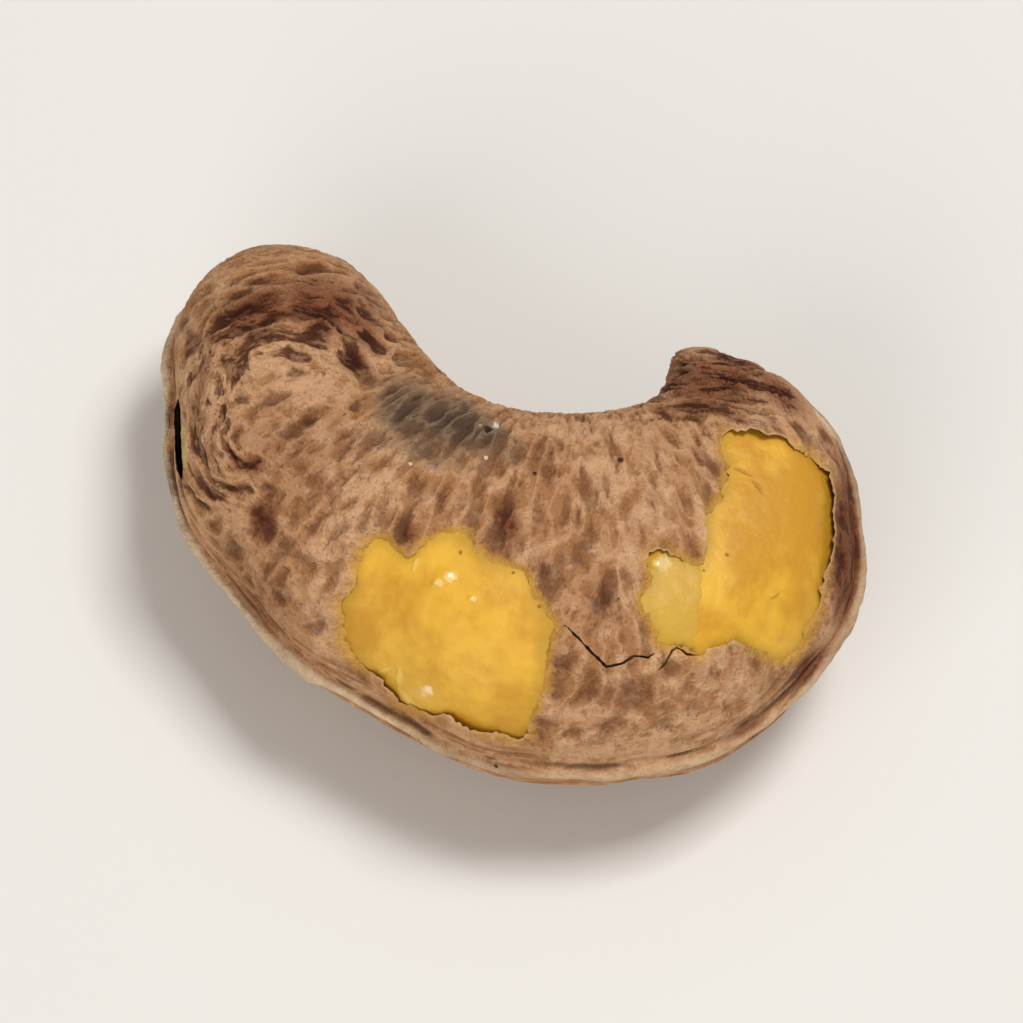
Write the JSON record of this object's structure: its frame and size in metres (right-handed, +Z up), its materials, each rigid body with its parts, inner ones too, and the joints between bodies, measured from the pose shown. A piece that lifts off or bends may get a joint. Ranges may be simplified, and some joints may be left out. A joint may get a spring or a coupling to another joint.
{
  "type": "roasted cashew nut",
  "caption": "Roasted cashew nut lying on its side: a curved kernel in a thin papery skin with a raised seam ridge, torn open in two places.",
  "frame": {"origin": "on the surface that the nut rests on, under the middle of its bounding box", "axes": "+X along the longest way, from the round end to the hooked end; +Y from the seam ridge towards the open side of the curve; +Z up through the thickness, the shortest way"},
  "size_m": [0.0294, 0.0196, 0.0125],
  "materials": {
    "skin": "matte",
    "kernel": "satin"
  },
  "bodies": {
    "root": {"skin": "skin", "kernel": "kernel"}
  },
  "joints": []
}
